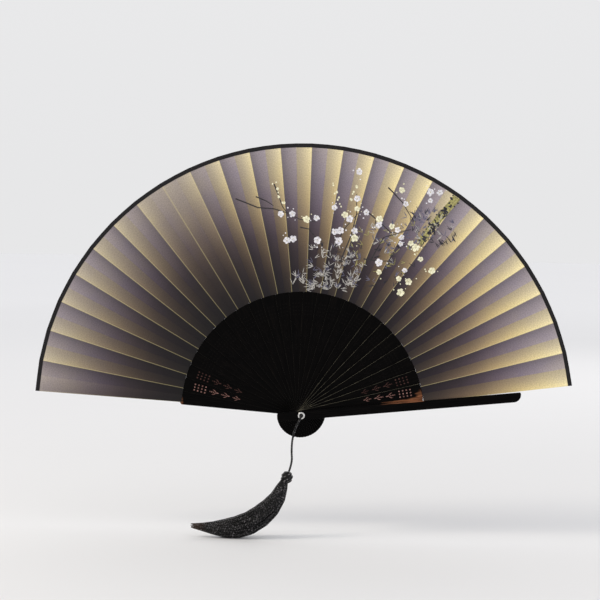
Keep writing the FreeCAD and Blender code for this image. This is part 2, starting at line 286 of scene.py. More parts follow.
def silk_material():
    """Silk whose dye fades from pale at the rim to nearly black at the sticks, with light and shade painted
    in.  A facet that faces up is painted pale yellow and brighter towards its crest, one that faces down is
    painted lavender and darker there, the left side is painted darker, and each crest has a painted highlight
    line."""
    s = Shader("silk", 0.6, Sheen_Weight=0.12, Sheen_Roughness=0.4, Specular_IOR_Level=0.25)
    apart = s.add("SeparateXYZ", {0: s.uv})
    to_crest, along = apart.outputs[0], apart.outputs[1]

    def dye(*colours):
        return s.ramp(along, list(zip(DYE_SHARES, colours)))

    # The painted shaded tone, lavender, for facets that face down.
    shaded_tone = dye(
        (27, 20, 25), (40, 31, 38), (56, 46, 52), (80, 68, 76),
        (105, 92, 104), (132, 120, 131), (152, 141, 150), (171, 160, 165),
    )
    # The painted lit tone, yellow, for facets that face up.
    lit_tone = dye(
        (43, 34, 28), (67, 54, 43), (97, 80, 62), (131, 111, 80),
        (163, 142, 101), (192, 172, 122), (211, 194, 142), (224, 210, 164),
    )
    # Painted light and shade: each facet's colour is mixed from the lit and the shaded tone by how far it
    # faces up, with random clouding.
    lit = s.attribute("lit")
    shaded_share = s.math("SUBTRACT", 1.0, lit)
    crest = s.math("POWER", to_crest, 1.3)
    cloud = s.math("SUBTRACT", s.noise(s.here, 45.0, 4.0), 0.5)
    painted_lit_share = s.times(lit, s.scaled(crest, 0.45, 0.58))
    painted_lit_share = s.plus(painted_lit_share, s.times(shaded_share, s.scaled(crest, -0.1, 0.08)))
    # Painted shade: facets on the left side are less yellow and darker, most of all near the sticks.
    painted_shade = s.attribute("painted_shade")
    painted_lit_share = s.times(painted_lit_share, s.scaled(painted_shade, -0.3, 1.0))
    painted_lit_share = s.plus(painted_lit_share, s.times(cloud, 0.4))
    lit_and_shaded_colour = s.mix(painted_lit_share, shaded_tone, lit_tone)
    # Painted brightness: facets that face up grow brighter towards their crest, facets that face down grow
    # darker there.
    painted_brightness = s.times(lit, s.scaled(crest, 0.5, 0.8))
    painted_brightness = s.plus(painted_brightness, s.times(shaded_share, s.scaled(crest, -0.5, 1.04)))
    deep = s.scaled(s.math("POWER", along, 2.0), -0.46, 0.62)
    painted_brightness = s.times(painted_brightness, s.math("SUBTRACT", 1.0, s.times(painted_shade, deep)))
    # A painted highlight line along each crest, paler on the facets that face up.
    edge = s.ranged(to_crest, 0.93, 0.985, high=0.42, interpolation_type="SMOOTHSTEP")
    slub = s.grain(20.0, 420.0, 2.0)
    crepe = s.grain(34.0, 190.0, 2.0)
    grain = s.grain(13.0, 110.0, 1.0)
    worn = s.scaled(slub, 0.3, s.scaled(crepe, 0.4, 0.35))
    worn = s.scaled(grain, 0.6, worn)
    tone = s.times(painted_brightness, worn)
    grey = s.add("CombineColor", {0: tone, 1: tone, 2: tone}).outputs[0]
    cloth = s.mix(1.0, lit_and_shaded_colour, grey, "MULTIPLY")
    s.colour(s.mix(s.times(edge, s.scaled(lit, 0.8, 0.2)), cloth, srgb(222, 208, 150)))
    weft, warp = s.wave(95.0, "Y"), s.wave(8.0, "X")
    s.bump(s.plus(s.times(weft, warp), crepe), 0.3, 0.0001)
    return s.material


def lacquer_material(name, tint, roughness):
    """Black lacquer over sandalwood.  The grain shows faintly and dulls the gloss in streaks, and bare
    copper-red wood shows where handling has worn it off."""
    s = Shader(name, roughness, Specular_IOR_Level=0.035)
    grain = s.grain(1400.0, 60.0, 5.0)
    pores = s.grain(4200.0, 260.0, 2.0)
    black = s.ramp(grain, [(0.30, (2, 2, 2)), (0.55, (5, 4, 4)), (0.74, tint)])
    bare = s.ramp(grain, [(0.35, (52, 32, 22)), (0.7, (160, 104, 72))])
    wear = s.attribute("wear")
    patchy = s.scaled(s.grain(900.0, 160.0, 4.0), 1.6, -0.8)
    gone = s.ranged(s.plus(wear, s.times(wear, patchy)), 0.3, 0.75)
    s.colour(s.mix(gone, black, bare))
    s.rough(s.ranged(grain, low=roughness - 0.08, high=roughness + 0.14))
    s.bump(s.scaled(pores, 0.5, grain), 0.25, 0.0001)
    return s.material


def bare_wood_material(name, dark, light):
    """Wood grain without lacquer: bare wood in a cut, in lit, half lit and shaded painted copies, and the
    painted highlight along the ribs' edges.
    """
    s = Shader(name, 0.6, Specular_IOR_Level=0.08)
    grain = s.grain(2400.0, 140.0, 4.0)
    s.colour(s.ramp(grain, [(0.3, dark), (0.7, light)]))
    s.bump(grain, 0.4, 0.0001)
    return s.material


def binding_material():
    """The black paper ribbon that is folded over the leaf's edge."""
    s = Shader("binding_ribbon", 0.5, Specular_IOR_Level=0.25)
    ribs = s.noise(s.here, 1500.0, 2.0)
    s.colour(s.ramp(ribs, [(0.3, (7, 6, 7)), (0.8, (26, 23, 25))]))
    s.bump(ribs, 0.4, 0.0001)
    return s.material


def paint_material(name, dark, light):
    """Painted ink or gouache, thicker in some places than in others."""
    s = Shader(name, 0.7)
    wash = s.noise(s.here, 900.0, 3.0)
    s.colour(s.ramp(wash, [(0.3, dark), (0.65, light)]))
    s.bump(wash, 0.3, 0.0001)
    return s.material


def thread_material():
    """Twisted rayon thread: its plies wind round it with painted highlights flecked along them, and it is
    browner at the fringe's tips.
    """
    s = Shader("tassel_thread", 0.3, Specular_IOR_Level=0.22)
    speckle = s.noise(s.here, 800.0, 1.0)
    ply = s.wave(pi / 5, "DIAGONAL")
    # Pale flecks along the plies are painted highlights.
    black = s.ramp(s.scaled(ply, 0.25, s.times(speckle, 0.75)), [
        (0.42, (2, 2, 3)),
        (0.6, (8, 8, 9)),
        (0.76, (128, 124, 126)),
    ])
    tip = s.attribute("tip")
    s.colour(s.mix(tip, black, srgb(84, 56, 38)))
    s.bump(s.plus(ply, speckle), 0.8, 0.0002)
    return s.material


def metal_material():
    """Plated steel, finely scratched."""
    s = Shader("polished_metal", 0.18, Metallic=1.0)
    scratches = s.noise(s.here, 1800.0, 3.0)
    s.colour(s.ramp(scratches, [(0.3, (176, 174, 172)), (0.7, (232, 231, 229))]))
    s.rough(s.ranged(scratches, low=0.1, high=0.34))
    return s.material


SILK = silk_material()
# Painted highlights for the ribs' left bevels, a bright one and a faint one.
EDGE_HIGHLIGHT = bare_wood_material("painted_edge_highlight", (40, 38, 32), (122, 117, 100))
EDGE_HIGHLIGHT_FAINT = bare_wood_material("painted_edge_highlight_faint", (10, 9, 8), (44, 41, 37))
LACQUER = lacquer_material("rib_lacquer", (15, 12, 10), 0.3)
GUARD_LACQUER = lacquer_material("guard_lacquer", (13, 10, 9), 0.26)
# The cut pattern's bare sandalwood in painted lit, half lit and shaded copies; the shaded one also lines the
# guards' rivet holes.
LIT_CUT = bare_wood_material("lit_bare_sandalwood", (92, 58, 52), (176, 138, 128))
HALF_LIT_CUT = bare_wood_material("half_lit_bare_sandalwood", (44, 26, 24), (96, 68, 62))
SHADED_CUT = bare_wood_material("shaded_bare_sandalwood", (3, 2, 2), (14, 9, 8))
BINDING = binding_material()
THREAD = thread_material()
METAL = metal_material()

# What lies on the silk: the binding, then the paints, each with its name and its thin and thick colour.
WHITE, CREAM, HEART, INK, PALE, GREEN, DARK, BLUE = range(1, 9)
TRIM_MATERIALS = (BINDING, *(paint_material(*paint) for paint in (
    ("petal_white", (190, 186, 196), (246, 244, 244)),
    ("petal_cream", (206, 200, 160), (250, 247, 218)),
    ("blossom_heart", (168, 156, 128), (216, 206, 168)),
    ("branch_ink", (20, 17, 20), (52, 46, 48)),
    ("bamboo_pale", (126, 124, 124), (206, 202, 194)),
    ("bamboo_green", (112, 108, 66), (176, 168, 104)),
    ("bamboo_dark", (14, 13, 18), (44, 41, 52)),
    ("bamboo_blue", (58, 58, 76), (112, 110, 132)),
)))


# ---- mesh helpers

# How a piece is shaded: by these, or by an angle between them.
FLAT, SMOOTH = 0, 180


def finish_piece(name, mesh, body, materials, sharp_from, nodes=()):
    """Scales a mesh from millimetres, puts it in the scene, and hands it to its body.  It is shaded smoothly,
    apart from edges that turn by sharp_from degrees or more."""
    mesh.transform(Matrix.Scale(MM, 4))
    for material in materials:
        mesh.materials.append(material)
    mesh.polygons.foreach_set("use_smooth", [sharp_from > FLAT] * len(mesh.polygons))
    mesh.update()
    piece = put_in_scene(name, mesh)
    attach(piece, body)
    if nodes:
        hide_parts(*nodes)
    if FLAT < sharp_from < SMOOTH:
        mesh.set_sharp_from_angle(angle=radians(sharp_from))
    return piece


def mesh_of(name, points, faces):
    mesh = bpy.data.meshes.new(name)
    mesh.from_pydata([tuple(p) for p in points], [], faces)
    mesh.update()
    return mesh


def stick_body(i):
    return "guard_front" if i == 0 else "guard_rear" if i == LAST else f"rib_{i:02d}"


def stick_angle(i):
    return pi / 2 + (i - LAST / 2) * PITCH


def stick_y(i):
    return (i - LAST / 2) * STACK


def stick_place(i, tilt=0.0):
    """Carries an upright stick to its angle and its place in the stack."""
    turn = Matrix.Rotation(-((i - LAST / 2) * PITCH + tilt), 4, "Y")
    return Matrix.Translation((0, stick_y(i), 0)) @ turn


def clamped(value):
    return min(1.0, max(0.0, value))


def set_numbers(mesh, name, values):
    """One named number at each corner of the mesh, for its material to read."""
    mesh.attributes.new(name, "FLOAT", "POINT").data.foreach_set("value", values)


def evaluated(thing):
    graph = bpy.context.evaluated_depsgraph_get()
    return bpy.data.meshes.new_from_object(thing.evaluated_get(graph))


def polar(angle, radius, y):
    return Vector((radius * cos(angle), y, radius * sin(angle)))


def add_grain_uv(mesh, shift):
    """Lays the grain along an upright stick; shift keeps the sticks from matching."""
    layer = mesh.uv_layers.new(name="grain")
    for loop in mesh.loops:
        x, y, z = mesh.vertices[loop.vertex_index].co
        layer.data[loop.index].uv = ((x + 0.6 * y) * MM + shift, z * MM + 3 * shift)


def cut_out(mesh, cutter):
    """The mesh with the cutter's shape taken out of it."""
    scratch = [put_in_scene("scratch", m) for m in (mesh, cutter)]
    cut = scratch[0].modifiers.new("cut", "BOOLEAN")
    cut.object = scratch[1]
    cut.solver = "EXACT"
    cut.material_mode = "INDEX"
    result = evaluated(scratch[0])
    for o in scratch:
        bpy.data.objects.remove(o)
    return result


def prism(bm, outline, y_low, y_high, bevel=0.0, material=0):
    """A closed plate from an outline of (x, z) points, with its long edges rounded over."""
    y_low, y_high = sorted((y_low, y_high))
    face = bm.faces.new([bm.verts.new((x, y_low, z)) for x, z in outline])
    made = bmesh.ops.extrude_face_region(bm, geom=[face])
    top = [g for g in made["geom"] if isinstance(g, bmesh.types.BMVert)]
    bmesh.ops.translate(bm, verts=top, vec=(0, y_high - y_low, 0))
    faces = {f for v in set(face.verts) | set(top) for f in v.link_faces}
    bmesh.ops.recalc_face_normals(bm, faces=list(faces))
    for f in faces:
        f.material_index = material
    if bevel:
        ring = {e for f in faces if len(f.verts) == len(outline) for e in f.edges}
        bmesh.ops.bevel(bm, geom=list(ring), offset=bevel, segments=3, affect="EDGES", profile=0.6)


def opened(mesh):
    bm = bmesh.new()
    bm.from_mesh(mesh)
    return bm


def write_back(bm, mesh):
    bm.to_mesh(mesh)
    bm.free()


def bm_to_mesh(bm, name):
    mesh = bpy.data.meshes.new(name)
    write_back(bm, mesh)
    return mesh


def rounded(points, radii, steps=4):
    """An outline of (x, z) corners, each rounded by its own radius; 0 leaves a corner sharp."""
    out = []
    for k, (corner, size) in enumerate(zip(points, radii)):
        here = Vector(corner)
        if size == 0:
            out.append(tuple(here))
            continue
        before = (Vector(points[k - 1]) - here).normalized()
        after = (Vector(points[(k + 1) % len(points)]) - here).normalized()
        half = before.angle(after) / 2
        reach = size / tan(half)
        start, end = here + before * reach, here + after * reach
        middle = here + (before + after).normalized() * (size / sin(half))
        for n in range(steps + 1):
            spoke = (start - middle).lerp(end - middle, n / steps).normalized() * size
            out.append(tuple(middle + spoke))
    return out


def circle(x, z, radius, count, stretch=1.0):
    turns = [k * (tau / count) for k in range(count)]
    return [(x + radius * cos(turn), z + radius * stretch * sin(turn)) for turn in turns]


# ---- ribs and guards

# A stick's material slots after the first, which is its lacquer.
CUT, EDGE_HIGHLIGHT_SLOT = 1, 2


def half_width(radius):
    """Half a rib's width, this far from the rivet."""
    share = (radius + TAIL) / (SHOULDER - SHOULDER_SLOPE + TAIL)
    return TAIL_HALF + (SHOULDER_HALF - TAIL_HALF) * share


def strip_centre(radius):
    """The middle of the strip of a rib that the rib in front of it leaves bare."""
    return radius * PITCH / 2 - half_width(radius)


def motif_at(radius, scale):
    """A small tulip cut: a pointed stem towards the rivet, two arms that open outwards, and three dots."""
    middle = strip_centre(radius)
    stem = [(0.0, -3.2), (0.42, -1.9), (0.2, -0.6), (-0.2, -0.6), (-0.42, -1.9)]
    arm = [(0.35, -0.9), (1.2, -0.3), (1.85, 0.9), (1.9, 2.4), (1.35, 1.1), (0.85, 0.25), (0.3, -0.2)]
    shapes = [[(middle + x * scale, radius + z * scale) for x, z in stem]]
    for side in (-1, 1):
        shapes.append([(middle + side * x * scale, radius + z * scale) for x, z in arm][::side])
    for height, size in ((0.9, 0.42), (2.4, 0.5), (3.7, 0.36)):
        shapes.append(circle(middle, radius + height * scale, size * scale, 12, 1.25))
    return shapes


def pierced_pattern():
    """Four rows of three dots near the silk, and three tulips below them."""
    shapes = []
    for radius in (70.2, 72.8, 75.4, 78.0):
        for across in (-2.05, 0.0, 2.05):
            shapes.append(circle(strip_centre(radius) + across, radius, 0.56, 12))
    for radius, scale in ((63.2, 0.98), (54.9, 0.92), (46.9, 0.82)):
        shapes += motif_at(radius, scale)
    return shapes


def rib_mesh():
    """One rib, upright: its wide lower part with the pattern cut in, and the thin blade behind the silk."""
    bm = bmesh.new()
    y = RIB_THICKNESS / 2
    right = [
        (TAIL_HALF, -TAIL),
        (SHOULDER_HALF, SHOULDER - SHOULDER_SLOPE),
        (SHOULDER_TOP_HALF, SHOULDER - SHOULDER_FALL),
        (SHOULDER_FLAT_HALF, SHOULDER),
    ]
    left = [(-x, z) for x, z in reversed(right)]
    wide = left[-1:] + right + left[:-1]
    prism(bm, rounded(wide, [RIB_TAIL_CORNER] * 2 + [0] * 6), -y, y, bevel=RIB_BEVEL)
    lower = bm_to_mesh(bm, "rib")
    bm = bmesh.new()
    prism(bm, circle(0, 0, HOLE_RADIUS, 32), -1, 1, material=CUT)
    for shape in pierced_pattern():
        prism(bm, shape, -1, -y + PATTERN_DEPTH, material=CUT)
    body = cut_out(lower, bm_to_mesh(bm, "cutter"))
    # The left front bevel faces along the middle of the rib take the painted edge highlight.
    for face in body.polygons:
        left_front = face.normal.x < -0.25 and face.normal.y < -0.25
        if left_front and 4 < face.center.z < SHOULDER - 1 and face.material_index != CUT:
            face.material_index = EDGE_HIGHLIGHT_SLOT
    bm = opened(body)
    lean = tan(FACET_TILT)
    fall = tan(VALLEY)
    before = set(bm.verts)
    blade = [
        (-BLADE_HALF, BLADE_ROOT),
        (BLADE_HALF, BLADE_ROOT),
        (BLADE_TIP_HALF, BLADE_END),
        (-BLADE_TIP_HALF, BLADE_END),
    ]
    prism(bm, rounded(blade, [BLADE_CORNER] * 4), 0, BLADE_THICKNESS, bevel=0.1)
    for v in set(bm.verts) - before:
        v.co.y -= lean * (v.co.z * fall - v.co.x)
    return bm_to_mesh(bm, "rib")


def add_wear(mesh, amount_at):
    """How worn the lacquer is at each corner of an upright stick."""
    set_numbers(mesh, "wear", [clamped(amount_at(v.co)) for v in mesh.vertices])


def divide_long_edges(mesh, longest=3.0):
    """Adds cross cuts to a stick's long faces, so that wear can fade along it."""
    bm = opened(mesh)
    low = min(v.co.z for v in bm.verts)
    high = max(v.co.z for v in bm.verts)
    height = low + longest
    while height < high:
        everything = bm.verts[:] + bm.edges[:] + bm.faces[:]
        bmesh.ops.bisect_plane(bm, geom=everything, plane_co=(0, 0, height), plane_no=(0, 0, 1), dist=0.0001)
        height += longest
    write_back(bm, mesh)


def make_ribs():
    base = rib_mesh()
    for i in range(1, LAST):
        mesh = base.copy()
        add_grain_uv(mesh, between(0.1, 1.0))
        if i == 1:
            add_wear(mesh, lambda co: 1.3 if co.x > 3.2 and 60 < co.z < 90 else 0.0)
        mesh.transform(stick_place(i))
        # The cut pattern is painted lit on the outermost rib at each end, half lit on the next, and shaded on
        # the rest.
        from_end = min(i, LAST - i)
        cut = LIT_CUT if from_end == 1 else HALF_LIT_CUT if from_end == 2 else SHADED_CUT
        # The painted edge highlight is brighter on the first seven ribs.
        edge = EDGE_HIGHLIGHT if i < 8 else EDGE_HIGHLIGHT_FAINT
        name = f"rib_{i:02d}"
        woods = (LACQUER, cut, edge)
        finish_piece(f"{name}_wood", mesh, name, woods, 32, (name,))


def bar_half_width(radius):
    """Half a guard bar's width, this far from the rivet."""
    share = (radius + TAIL) / (GUARD_TIP + TAIL)
    return TAIL_HALF + (GUARD_TIP_HALF - TAIL_HALF) * share


def guard_mesh(front):
    """A guard, upright: a thick bar, thinned on the inside where the leaf lies against it.  The front one has
    a thin wider rib glued inside its foot, and the rear one is as wide as that all through."""
    step_end = GUARD_RELIEF_START + GUARD_STEP
    tail = [(-TAIL_HALF, -TAIL), (TAIL_HALF, -TAIL)]
    tip = [(GUARD_TIP_HALF, GUARD_TIP), (-GUARD_TIP_HALF, GUARD_TIP)]
    tail_corners = [GUARD_TAIL_CORNER] * 2
    tip_corners = [GUARD_ROUND_CORNER, GUARD_SQUARE_CORNER]
    corners = tail_corners + tip_corners
    outline = tail + tip
    if not front:
        step = [(GUARD_FOOT_HALF, GUARD_RELIEF_START), (bar_half_width(step_end), step_end)]
        outline = tail + step + tip + [(-x, z) for x, z in reversed(step)]
        corners = tail_corners + [0, 0] + tip_corners + [0, 0]
    side = -1 if front else 1
    inner = -side * RIB_THICKNESS / 2
    outer = inner + side * GUARD_THICKNESS
    bm = bmesh.new()
    prism(bm, rounded(outline, corners, steps=7), inner, outer, bevel=GUARD_BEVEL)
    solid = bm_to_mesh(bm, "guard")
    bm = bmesh.new()
    prism(bm, circle(0, 0, HOLE_RADIUS, 32), -6, 6, material=CUT)
    step = inner + side * (FRONT_RELIEF if front else REAR_RELIEF)
    beyond = inner - side * 2
    clear, past_tip, start = 8, 170, GUARD_RELIEF_START
    recess = [(-clear, start), (clear, start), (clear, past_tip), (-clear, past_tip)]
    prism(bm, recess, step, beyond)
    made = cut_out(solid, bm_to_mesh(bm, "cutter"))
    if front:
        bm = opened(made)
        middle = inner + side * RIB_THICKNESS
        foot_half, foot_low = 2.2, -TAIL + 1.2
        foot = rounded([
            (-foot_half, foot_low),
            (foot_half, foot_low),
            (bar_half_width(GUARD_RELIEF_START) - 0.3, GUARD_RELIEF_START),
            (-GUARD_FOOT_HALF, GUARD_RELIEF_START),
        ], [0.6, 0.6, 0, 0.3])
        prism(bm, foot, inner, middle, bevel=0.18)
        made = bm_to_mesh(bm, "guard")
    return made


def front_guard_wear(co):
    """The foot's left edge is rubbed bare, more and more towards the leaf."""
    if co.x > -bar_half_width(co.z) + 0.5 or not 40 < co.z < GUARD_RELIEF_START + 1:
        return 0.0
    return (co.z - 46) / 32


def rear_guard_wear(co):
    """A rubbed spot where the silk begins."""
    return 1.2 - (co.z - GUARD_RELIEF_START - 1) ** 2 / 4 if co.x < -1.5 else 0.0


def make_guards():
    for i, front, tilt in ((0, True, FRONT_GUARD_TILT), (LAST, False, 0.0)):
        name = stick_body(i)
        mesh = guard_mesh(front)
        divide_long_edges(mesh)
        add_grain_uv(mesh, 0.4 + 0.1 * i)
        add_wear(mesh, front_guard_wear if front else rear_guard_wear)
        mesh.transform(stick_place(i, tilt))
        woods = (GUARD_LACQUER, SHADED_CUT)
        finish_piece(f"{name}_wood", mesh, name, woods, 32, (name,))


# ---- the pleated silk

def valley_line(i, radius):
    return polar(stick_angle(i) - VALLEY, radius, stick_y(i) - VALLEY_DEPTH)


def mountain_line(i, radius):
    if i == 0:
        return polar(stick_angle(0) + FIRST_MOUNTAIN, radius, stick_y(0) - FIRST_MOUNTAIN_DEPTH)
    return polar(stick_angle(i) + MOUNTAIN, radius, stick_y(i) - VALLEY_DEPTH - RISE * radius)


class Facet:
    """One flat fold of the leaf, from its right crease to its left one as seen from the painted face."""

    def __init__(self, index, glued):
        self.index = index
        self.glued = glued
        self.body = stick_body(index) if glued else f"leaf_fold_{index:02d}"
        self.name = f"silk_{'glued' if glued else 'free'}_{index:02d}"
        self.low = stick_angle(index) + (-VALLEY if glued else FIRST_MOUNTAIN if index == 0 else MOUNTAIN)
        self.high = stick_angle(index + (0 if glued else 1)) + (MOUNTAIN if glued else -VALLEY)

    def corner(self, right_side, radius):
        if self.glued:
            return valley_line(self.index, radius) if right_side else mountain_line(self.index, radius)
        return mountain_line(self.index, radius) if right_side else valley_line(self.index + 1, radius)

    def point(self, across, radius, lift=0.0):
        """A point of the painted face.  Across is 0 at the right crease and 1 at the left, and lift is the
        height above the face."""
        right, left = self.corner(True, radius), self.corner(False, radius)
        outward = (left - right).cross(right).normalized()
        if outward.y > 0:
            outward.negate()
        wave = RIPPLE * sin(radius * 0.19 + self.index * 2.3) * sin(pi * across)
        return right.lerp(left, across) + outward * (lift + wave)


def grid_faces(columns, rows, first=0):
    faces = []
    for row in range(rows):
        for column in range(columns):
            corner = first + row * (columns + 1) + column
            faces.append((corner, corner + 1, corner + columns + 2, corner + columns + 1))
    return faces


def slab(facet, columns, radii, front, back):
    """A closed thin layer of a facet, between two heights above its face."""
    rows = len(radii) - 1
    steps = [k / columns for k in range(columns + 1)]
    points = [facet.point(t, r, front) for r in radii for t in steps]
    points += [facet.point(t, r, back) for r in radii for t in steps]
    under = len(points) // 2
    faces = [f[::-1] for f in grid_faces(columns, rows)] + grid_faces(columns, rows, under)
    last = rows * (columns + 1)
    for k in range(columns):
        faces.append((k, k + 1, under + k + 1, under + k))
        faces.append((last + k + 1, last + k, under + last + k, under + last + k + 1))
    for k in range(rows):
        a, b = k * (columns + 1), (k + 1) * (columns + 1)
        faces.append((b, a, under + a, under + b))
        faces.append((a + columns, b + columns, under + b + columns, under + a + columns))
    return points, faces


def spread(low, high, count):
    return [low + (high - low) * k / count for k in range(count + 1)]


def facet_light(facet):
    """How much painted light the facet's colour gets, by how far it faces up: the free ones do on the right
    and at the top, the glued ones on the left.  The change runs over four to five sticks.  The last facet, on
    the rear guard, is painted in the shade."""
    starts, over, last_one = 14.5, 4.5, 0.25
    share = clamped((facet.index - starts) / over)
    share = share * share * (3 - 2 * share)
    if facet.index == LAST:
        return last_one
    return share * 0.85 if facet.glued else 1.0 - share


def facet_painted_shade(facet):
    """How much painted shade the facet's colour gets, as if turned away from the light: none on the right,
    full on the left.
    """
    starts, over = 66, 70
    return clamped((degrees((facet.low + facet.high) / 2) - starts) / over)


def make_silk(facet, trim):
    """The facet's cloth, with its amounts of painted light and painted shade for the colour."""
    radii = spread(SILK_INNER, LEAF_OUTER, SILK_ROWS)
    points, faces = slab(facet, STRIPS, radii, 0.0, -SILK_THICKNESS)
    mesh = mesh_of(facet.name, points, faces)
    layer = mesh.uv_layers.new(name="cloth")
    columns = STRIPS + 1
    half = len(points) // 2
    for loop in mesh.loops:
        k = loop.vertex_index % half
        across = (k % columns) / STRIPS
        if not facet.glued:
            across = 1 - across
        layer.data[loop.index].uv = (across, (k // columns) / SILK_ROWS)
    # The amounts of painted light and painted shade, for the silk's colour.
    for name, value in (("lit", facet_light(facet)), ("painted_shade", facet_painted_shade(facet))):
        set_numbers(mesh, name, [value] * len(mesh.vertices))
    piece = finish_piece(facet.name, mesh, facet.body, (SILK,), 40, (facet.body,))
    inner, outer = (
        (facet.corner(True, r) - facet.corner(False, r)).length for r in (LEAF_INNER, LEAF_OUTER)
    )


# ---- the painting, as strokes in front-view millimetres

def wobble(amount):
    return between(-amount, amount)


def turned(x, z, along, side, angle):
    """The point that lies this far along an angle from (x, z), and this far to the side of it."""
    return (
        x + along * cos(angle) - side * sin(angle),
        z + along * sin(angle) + side * cos(angle),
    )


def petals(x, z, size, turn):
    """Five round petals, broad and a little uneven, as a loaded brush leaves them."""
    shapes = []
    for k in range(5):
        middle = turn + k * tau / 5 + wobble(0.12)
        long = size * between(0.86, 1.1)
        wide = size * between(0.36, 0.46)
        outline = []
        for n in range(10):
            around = n * tau / 10
            out = long * (0.54 + 0.44 * cos(around))
            side = wide * sin(around) * (1 + 0.2 * cos(around))
            outline.append(turned(x, z, out, side, middle))
        shapes.append(outline)
    return shapes


def stroke(points, start_width, end_width):
    """A brush stroke along a few points, as one quad for each stretch."""
    shapes = []
    count = len(points) - 1
    line = [Vector(p) for p in points]
    for k in range(count):
        here, there = line[k], line[k + 1]
        along = (there - here).normalized()
        side = Vector((-along.y, along.x))
        first = start_width + (end_width - start_width) * k / count
        second = start_width + (end_width - start_width) * (k + 1) / count
        here, there = here - along * first * 0.2, there + along * second * 0.2
        shapes.append([tuple(p) for p in (
            here + side * first / 2,
            here - side * first / 2,
            there - side * second / 2,
            there + side * second / 2,
        )])
    return shapes


def blade_leaf(x, z, length, width, angle):
    """A narrow bamboo leaf, pointed at both ends."""
    one_edge = [(0.0, 0.0), (0.2, 0.36), (0.45, 0.5), (0.75, 0.3), (1.0, 0.0)]
    other_edge = [(t, -w) for t, w in one_edge[3:0:-1]]
    return [[turned(x, z, t * length, w * width, angle) for t, w in one_edge + other_edge]]


# Where the blossoms and buds sit and which way the branches run, as x and z.
BLOSSOMS = (
    (-17, 140.5), (-9, 140.5), (1, 137), (8, 138), (-12.5, 122), (-8, 123), (9, 122.5),
    (20.5, 145.5), (28, 140.5), (31.5, 138), (36.5, 152), (36.5, 145), (37.5, 171), (43, 142.5),
    (52, 138), (52, 134), (21, 128.5), (25, 129.5), (24, 122), (35, 129.5), (35, 124.5),
    (65, 130.5), (68, 125.5), (67.5, 121), (74.5, 121.5), (78, 118.5), (81.5, 110.5),
    (52.5, 107.5), (52.5, 101), (70.5, 102.5), (89.5, 102.5), (66.5, 96.5), (73.5, 94.5), (68, 87),
    (87.5, 157.5), (94, 157.5), (87.5, 151.5), (67.5, 158.5), (70.5, 149), (61, 133),
)
BUDS = (
    (-22, 161.5), (-19.5, 156.5), (-18, 151.5), (-16, 147.5),
    (20.5, 161.5), (21, 156.5), (22.5, 152), (24, 147.5), (36, 161.5), (33, 156.5), (32.5, 151.5),
)
BRANCHES = (
    ((-48.5, 150), (-33, 145), (-22, 143.5), (-12.5, 141), (-4, 136.5), (7.5, 135.5)),
    ((-34.5, 152.5), (-28, 149), (-22.5, 146)),
    ((-22, 161.5), (-19.5, 154), (-16, 146), (-12.5, 141)),
    ((58.5, 160.5), (68, 150), (76, 137.5)),
    ((42, 110), (52, 109), (63, 109)),
    ((25, 107.5), (33, 126), (36.5, 141), (36, 155)),
    ((46, 108), (55.5, 125), (70.5, 129.5)),
    ((18, 110), (22, 119.5), (28, 131.5), (37, 141.5)),
    ((44, 143), (52.5, 136.5), (61, 129), (74, 131)),
    ((-3.5, 131), (3.5, 130.5), (9.5, 122.5)),
)


# How high each kind of mark stands off the silk; the higher ones cover the lower.
PAINT_BASE = 0.012
TRUNK_LIFT = 0.035
TUFT_LIFT = 0.05
DAB_LIFT = 0.06
BRANCH_LIFT = 0.07
DOT_LIFT = 0.08
PETAL_LIFT = 0.09
HEART_LIFT = 0.11

# Where the bamboo is brushed in: left, right, low and high edge, how many tufts, and the paints used.
THICKETS = (
    (-9, 38, 87, 99, 66, (PALE, PALE, PALE, PALE, BLUE)),
    (4, 40, 98, 118, 58, (PALE, PALE, BLUE, DARK)),
    (34, 64, 103, 134, 46, (GREEN, PALE, DARK, BLUE)),
    (56, 84, 116, 140, 34, (DARK, BLUE, BLUE, GREEN)),
    (75, 107, 122, 144, 46, (BLUE, BLUE, DARK, PALE)),
    (46, 78, 90, 108, 16, (DARK, BLUE, GREEN)),
)
TRUNK = ((81, 122), (88, 132), (97, 143), (106, 154))
TRUNK_DABS = 64
TRUNK_LEAVES = 16


def spot(x, z, size):
    """A ragged dab of paint."""
    turn = between(0, 6)
    long = size * between(1.0, 1.7)
    outline = []
    for n in range(8):
        around = n * pi / 4
        out = long * cos(around) * between(0.75, 1.1)
        side = size * sin(around) * between(0.6, 1.0)
        outline.append(turned(x, z, out, side, turn))
    return [outline]


def tuft(x, z):
    """A few narrow leaves that fan out from one point."""
    shapes = []
    lean = between(0.2, 2.9)
    for _ in range(chance.randint(2, 4)):
        angle = lean + wobble(0.9)
        shapes += blade_leaf(x, z, between(2.8, 5.6), between(0.36, 0.6), angle)
    return shapes


